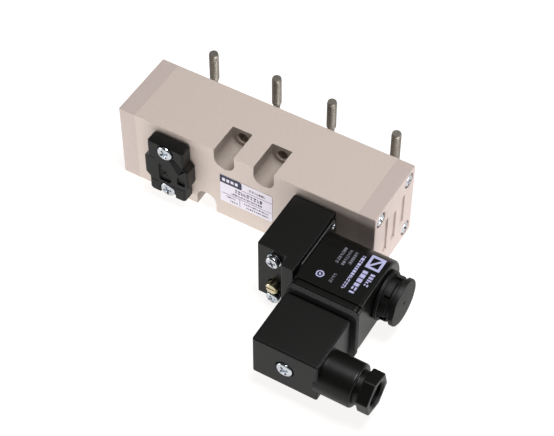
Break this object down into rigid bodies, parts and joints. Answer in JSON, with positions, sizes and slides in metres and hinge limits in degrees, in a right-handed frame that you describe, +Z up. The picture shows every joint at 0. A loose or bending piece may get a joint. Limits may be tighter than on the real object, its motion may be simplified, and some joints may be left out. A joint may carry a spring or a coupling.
{
  "type": "solenoid directional valve",
  "caption": "Base-plate-mounted spool valve: a long rectangular body with end caps, a blanking cover and a solenoid pilot with a plug-in cable connector on its front.",
  "frame": {"origin": "centre of the valve body's flat underside", "axes": "+X along the spool towards the pilot end, +Y towards the base plate that the valve mounts on, +Z up, away from the table"},
  "size_m": [0.159, 0.1285, 0.04],
  "materials": {
    "beige_paint": "light beige enamel, semi-matt",
    "black_plastic": "fine-textured black moulding",
    "grey_plastic": "grey moulding",
    "black_rubber": "black rubber",
    "zinc_plated_steel": "bright zinc plate",
    "bare_steel": "bare steel",
    "soft_iron": "machined",
    "brass": "machined brass",
    "enamelled_copper": "enamelled wire",
    "anodised_aluminium": "ground and anodised",
    "white_label": "printed foil"
  },
  "bodies": {
    "valve": {"armature_plate": "zinc_plated_steel", "armature_tube": "bare_steel", "blanking_cover": "black_plastic", "blanking_cover_gasket": "black_rubber", "cover_screw_lower": "zinc_plated_steel", "cover_screw_upper": "zinc_plated_steel", "fixed_core": "soft_iron", "left_cap_gasket": "black_rubber", "left_cap_screw_back_lower": "zinc_plated_steel", "left_cap_screw_back_upper": "zinc_plated_steel", "left_cap_screw_front_lower": "zinc_plated_steel", "left_cap_screw_front_upper": "zinc_plated_steel", "left_end_cap": "beige_paint", "mounting_gasket": "black_rubber", "pilot_block": "black_plastic", "pilot_block_gasket": "black_rubber", "pilot_block_screw_lower": "zinc_plated_steel", "pilot_block_screw_upper": "zinc_plated_steel", "plate_screw_lower": "zinc_plated_steel", "plate_screw_upper": "zinc_plated_steel", "plunger_spring": "bare_steel", "rating_label": "white_label", "return_spring": "bare_steel", "right_cap_gasket": "black_rubber", "right_cap_screw_back_lower": "zinc_plated_steel", "right_cap_screw_back_upper": "zinc_plated_steel", "right_cap_screw_front_lower": "zinc_plated_steel", "right_cap_screw_front_upper": "zinc_plated_steel", "right_end_cap": "beige_paint", "tube_o_ring": "black_rubber", "valve_body": "beige_paint"},
    "spool_assembly": {"spool": "anodised_aluminium", "spool_seal_1": "black_rubber", "spool_seal_2": "black_rubber", "spool_seal_3": "black_rubber", "spool_seal_4": "black_rubber", "spool_seal_5": "black_rubber", "spool_seal_6": "black_rubber", "pilot_piston": "grey_plastic", "pilot_piston_seal": "black_rubber"},
    "plunger_assembly": {"plunger": "soft_iron", "plunger_seat_seal": "black_rubber"},
    "override_pin": {"manual_override": "brass"},
    "coil_assembly": {"coil_housing": "black_plastic", "coil_bobbin": "grey_plastic", "coil_winding": "enamelled_copper", "coil_blade_left": "bare_steel", "coil_blade_right": "bare_steel", "coil_blade_earth": "bare_steel", "connector_gasket": "black_rubber", "plug_housing": "black_plastic", "terminal_insert": "grey_plastic", "plug_screw": "zinc_plated_steel", "gland_grommet": "black_rubber"},
    "coil_nut": {"coil_nut": "black_plastic"},
    "gland_nut": {"gland_nut": "black_plastic"},
    "mounting_screw_1": {"mounting_screw_1": "bare_steel"},
    "mounting_screw_2": {"mounting_screw_2": "bare_steel"},
    "mounting_screw_3": {"mounting_screw_3": "bare_steel"},
    "mounting_screw_4": {"mounting_screw_4": "bare_steel"}
  },
  "joints": [
    {"name": "spool_shift", "type": "slide", "parent": "valve", "child": "spool_assembly", "axis": [-1, 0, 0], "range_m": [0, 0.0035], "deforming": ["return_spring"]},
    {"name": "plunger_lift", "type": "slide", "parent": "valve", "child": "plunger_assembly", "axis": [1, 0, 0], "range_m": [0, 0.0008], "deforming": ["plunger_spring"]},
    {"name": "override_turn", "type": "hinge", "parent": "valve", "child": "override_pin", "pos_m": [0.0329, -0.0477, 0.0126], "axis": [0, 1, 0], "range_deg": [0, 90]},
    {"name": "coil_turn", "type": "hinge", "parent": "valve", "child": "coil_assembly", "pos_m": [0.0613, -0.034, 0.0192], "axis": [1, 0, 0], "range_deg": [-90, 90]},
    {"name": "coil_nut_turn", "type": "hinge", "parent": "valve", "child": "coil_nut", "pos_m": [0.0811, -0.034, 0.0192], "axis": [1, 0, 0], "continuous": true},
    {"name": "gland_nut_turn", "type": "hinge", "parent": "coil_assembly", "child": "gland_nut", "pos_m": [0.0943, -0.0776, 0.0177], "axis": [1, 0, 0], "continuous": true},
    {"name": "mounting_screw_1_lift", "type": "slide", "parent": "valve", "child": "mounting_screw_1", "axis": [0, 0, 1], "range_m": [0, 0.04]},
    {"name": "mounting_screw_2_lift", "type": "slide", "parent": "valve", "child": "mounting_screw_2", "axis": [0, 0, 1], "range_m": [0, 0.04]},
    {"name": "mounting_screw_3_lift", "type": "slide", "parent": "valve", "child": "mounting_screw_3", "axis": [0, 0, 1], "range_m": [0, 0.04]},
    {"name": "mounting_screw_4_lift", "type": "slide", "parent": "valve", "child": "mounting_screw_4", "axis": [0, 0, 1], "range_m": [0, 0.04]}
  ]
}
